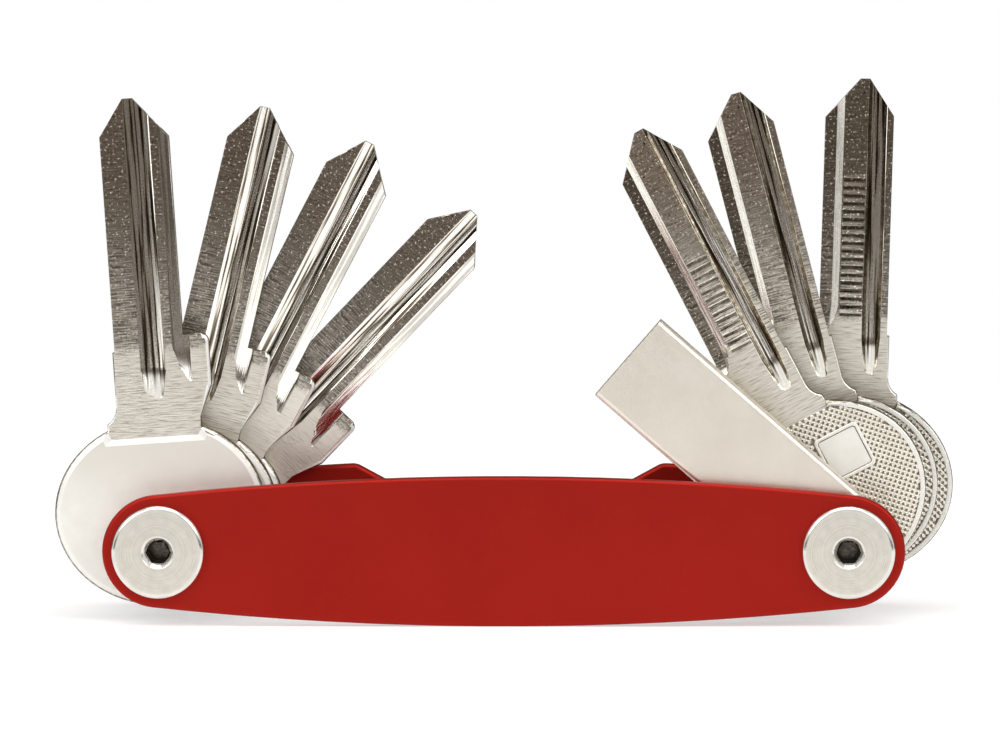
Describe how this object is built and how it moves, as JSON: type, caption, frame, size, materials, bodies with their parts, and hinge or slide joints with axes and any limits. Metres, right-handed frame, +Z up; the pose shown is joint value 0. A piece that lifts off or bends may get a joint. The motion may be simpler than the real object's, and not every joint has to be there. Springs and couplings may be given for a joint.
{
  "type": "pocket key organizer",
  "caption": "Pocket key organizer: slim red side plates on sleeve posts, with key blanks and a USB stick that swing out between them like the blades of a pocket knife.",
  "frame": {"origin": "on the ground under the middle of the two plates, halfway between front and back", "axes": "+X along the plates from the key post on the left to the post with the USB stick on the right, +Y from the front plate to the back plate, +Z up"},
  "size_m": [0.1123, 0.029, 0.0671],
  "materials": {
    "anodised_red": "bead-blasted, red anodised, satin",
    "stainless": "turned stainless steel, satin",
    "nickel_key": "nickel-plated brass, satin bow, milled blade",
    "usb_metal": "satin nickel-plated steel",
    "nylon": "natural nylon, matt",
    "carrier_plastic": "moulded plastic, matt",
    "board_black": "black moulded memory board",
    "contact_gold": "gold-plated contacts"
  },
  "bodies": {
    "root": {"front_plate": "anodised_red", "back_plate": "anodised_red", "left_sleeve": "stainless", "right_sleeve": "stainless", "left_screw": "stainless", "right_screw": "stainless", "left_front_spacer": "nylon", "left_spacer_1": "nylon", "left_spacer_2": "nylon", "left_spacer_3": "nylon", "left_washer": "nylon", "right_washer": "nylon", "right_spacer_1": "nylon", "right_spacer_2": "nylon", "right_spacer_3": "nylon", "right_spacer_4": "nylon"},
    "left_key_1": {"left_key_1": "nickel_key"},
    "left_key_2": {"left_key_2": "nickel_key"},
    "left_key_3": {"left_key_3": "nickel_key"},
    "left_key_4": {"left_key_4": "nickel_key"},
    "right_key_1": {"right_key_1": "nickel_key"},
    "right_key_2": {"right_key_2": "nickel_key"},
    "right_key_3": {"right_key_3": "nickel_key"},
    "usb_stick": {"usb_case": "usb_metal", "usb_carrier": "carrier_plastic", "usb_board": "board_black", "usb_contacts": "contact_gold"}
  },
  "joints": [
    {"name": "left_key_1_hinge", "type": "hinge", "parent": "root", "child": "left_key_1", "pos_m": [-0.0427, 0, 0.0093], "axis": [0, 1, 0], "range_deg": [-86.3, 93.7]},
    {"name": "left_key_2_hinge", "type": "hinge", "parent": "root", "child": "left_key_2", "pos_m": [-0.0427, 0, 0.0093], "axis": [0, 1, 0], "range_deg": [-103.7, 76.3]},
    {"name": "left_key_3_hinge", "type": "hinge", "parent": "root", "child": "left_key_3", "pos_m": [-0.0427, 0, 0.0093], "axis": [0, 1, 0], "range_deg": [-117.7, 62.3]},
    {"name": "left_key_4_hinge", "type": "hinge", "parent": "root", "child": "left_key_4", "pos_m": [-0.0427, 0, 0.0093], "axis": [0, 1, 0], "range_deg": [-133.9, 46.1]},
    {"name": "right_key_1_hinge", "type": "hinge", "parent": "root", "child": "right_key_1", "pos_m": [0.0427, 0, 0.0093], "axis": [0, -1, 0], "range_deg": [-117.3, 62.7]},
    {"name": "right_key_2_hinge", "type": "hinge", "parent": "root", "child": "right_key_2", "pos_m": [0.0427, 0, 0.0093], "axis": [0, -1, 0], "range_deg": [-104.5, 75.5]},
    {"name": "right_key_3_hinge", "type": "hinge", "parent": "root", "child": "right_key_3", "pos_m": [0.0427, 0, 0.0093], "axis": [0, -1, 0], "range_deg": [-88.2, 91.8]},
    {"name": "usb_stick_hinge", "type": "hinge", "parent": "root", "child": "usb_stick", "pos_m": [0.0427, 0, 0.0093], "axis": [0, -1, 0], "range_deg": [-138.8, 41.2]}
  ]
}
